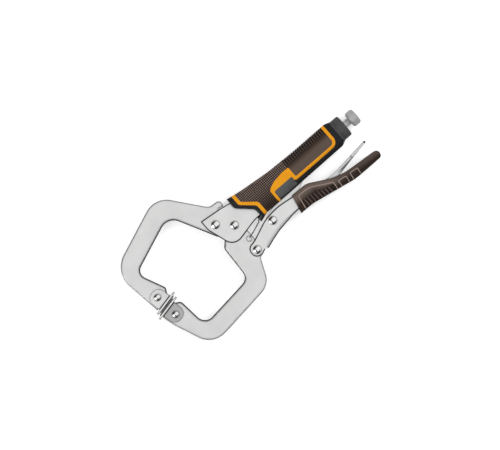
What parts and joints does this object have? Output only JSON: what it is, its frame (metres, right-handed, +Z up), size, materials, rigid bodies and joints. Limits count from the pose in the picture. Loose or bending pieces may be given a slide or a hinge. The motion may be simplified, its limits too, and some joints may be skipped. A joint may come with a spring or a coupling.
{
  "type": "locking c-clamp pliers",
  "caption": "Locking C-clamp pliers with swivelling pads, toggle linkage, adjusting screw, release lever and soft grips, shown closed.",
  "frame": {"origin": "below the middle of the tool's bounding box, on the surface it lies on", "axes": "+X along the fixed handle toward the knob, +Y toward the fixed jaw's back, +Z up out of the side it lies on"},
  "size_m": [0.2794, 0.1424, 0.024],
  "materials": {
    "shell_steel": "satin plated",
    "jaw_steel": "satin plated",
    "rivet_steel": "polished",
    "screw_steel": "plated",
    "knob_steel": "knurled, plated",
    "grip_dark": "matte",
    "grip_brown": "soft, fine mesh",
    "grip_orange": "satin",
    "pad_steel": "satin plated",
    "link_steel": "satin plated",
    "lever_steel": "satin plated",
    "spring_steel": "plain"
  },
  "bodies": {
    "fixed_handle": {"fixed_handle_shell": "shell_steel", "fixed_jaw": "jaw_steel", "jaw_anchor_rivet": "rivet_steel", "jaw_pivot_rivet": "rivet_steel", "threaded_bush": "screw_steel", "spring_anchor_pin": "screw_steel", "upper_grip_base": "grip_dark", "upper_grip_cover": "grip_brown", "upper_grip_front_trim": "grip_orange", "upper_grip_long_trim": "grip_orange", "fixed_pad_rivet": "rivet_steel", "return_spring": "spring_steel"},
    "fixed_pad": {"fixed_pad": "pad_steel"},
    "moving_jaw": {"moving_jaw": "jaw_steel", "moving_pad_rivet": "rivet_steel", "handle_pivot_rivet": "rivet_steel"},
    "moving_pad": {"moving_pad": "pad_steel"},
    "lower_handle": {"lower_handle_shell": "shell_steel", "lower_grip": "grip_brown", "link_rivet": "rivet_steel", "lever_pin": "screw_steel"},
    "toggle_link": {"toggle_link": "link_steel"},
    "release_lever": {"release_lever": "lever_steel"},
    "adjusting_screw": {"adjusting_screw": "screw_steel"},
    "knob": {"knurled_knob": "knob_steel"}
  },
  "joints": [
    {"name": "jaw_pivot", "type": "hinge", "parent": "fixed_handle", "child": "moving_jaw", "pos_m": [-0.0222, 0.00288, 0.012], "axis": [0, 0, 1], "range_deg": [0, 16], "deforming": ["return_spring"]},
    {"name": "handle_pivot", "type": "hinge", "parent": "moving_jaw", "child": "lower_handle", "pos_m": [-0.021, -0.02992, 0.012], "axis": [0, 0, 1], "range_deg": [-53, 0]},
    {"name": "link_pivot", "type": "hinge", "parent": "lower_handle", "child": "toggle_link", "pos_m": [0.0094, -0.01832, 0.012], "axis": [0, 0, 1], "range_deg": [0, 54]},
    {"name": "release_lever_pivot", "type": "hinge", "parent": "lower_handle", "child": "release_lever", "pos_m": [0.0643, -0.02212, 0.012], "axis": [0, 0, -1], "range_deg": [0, 7]},
    {"name": "fixed_pad_swivel", "type": "hinge", "parent": "fixed_handle", "child": "fixed_pad", "pos_m": [-0.126, -0.00102, 0.012], "axis": [0, 0, 1], "range_deg": [-5, 25]},
    {"name": "moving_pad_swivel", "type": "hinge", "parent": "moving_jaw", "child": "moving_pad", "pos_m": [-0.1234, -0.02542, 0.012], "axis": [0, 0, 1], "range_deg": [-25, 5]},
    {"name": "screw_slide", "type": "slide", "parent": "fixed_handle", "child": "adjusting_screw", "axis": [1, 0, 0], "range_m": [0, 0.018]},
    {"name": "knob_turn", "type": "hinge", "parent": "adjusting_screw", "child": "knob", "pos_m": [0.1352, 0.00628, 0.012], "axis": [1, 0, 0], "range_deg": [0, 5191]}
  ],
  "couplings": [
    {"joint": "handle_pivot", "follows": "jaw_pivot", "ratio": -3.244},
    {"joint": "link_pivot", "follows": "jaw_pivot", "ratio": 3.2975},
    {"joint": "fixed_pad_swivel", "follows": "jaw_pivot", "ratio": 0.5},
    {"joint": "moving_pad_swivel", "follows": "jaw_pivot", "ratio": -0.5},
    {"joint": "knob_turn", "follows": "screw_slide", "rad_per_m": 5026.5}
  ]
}
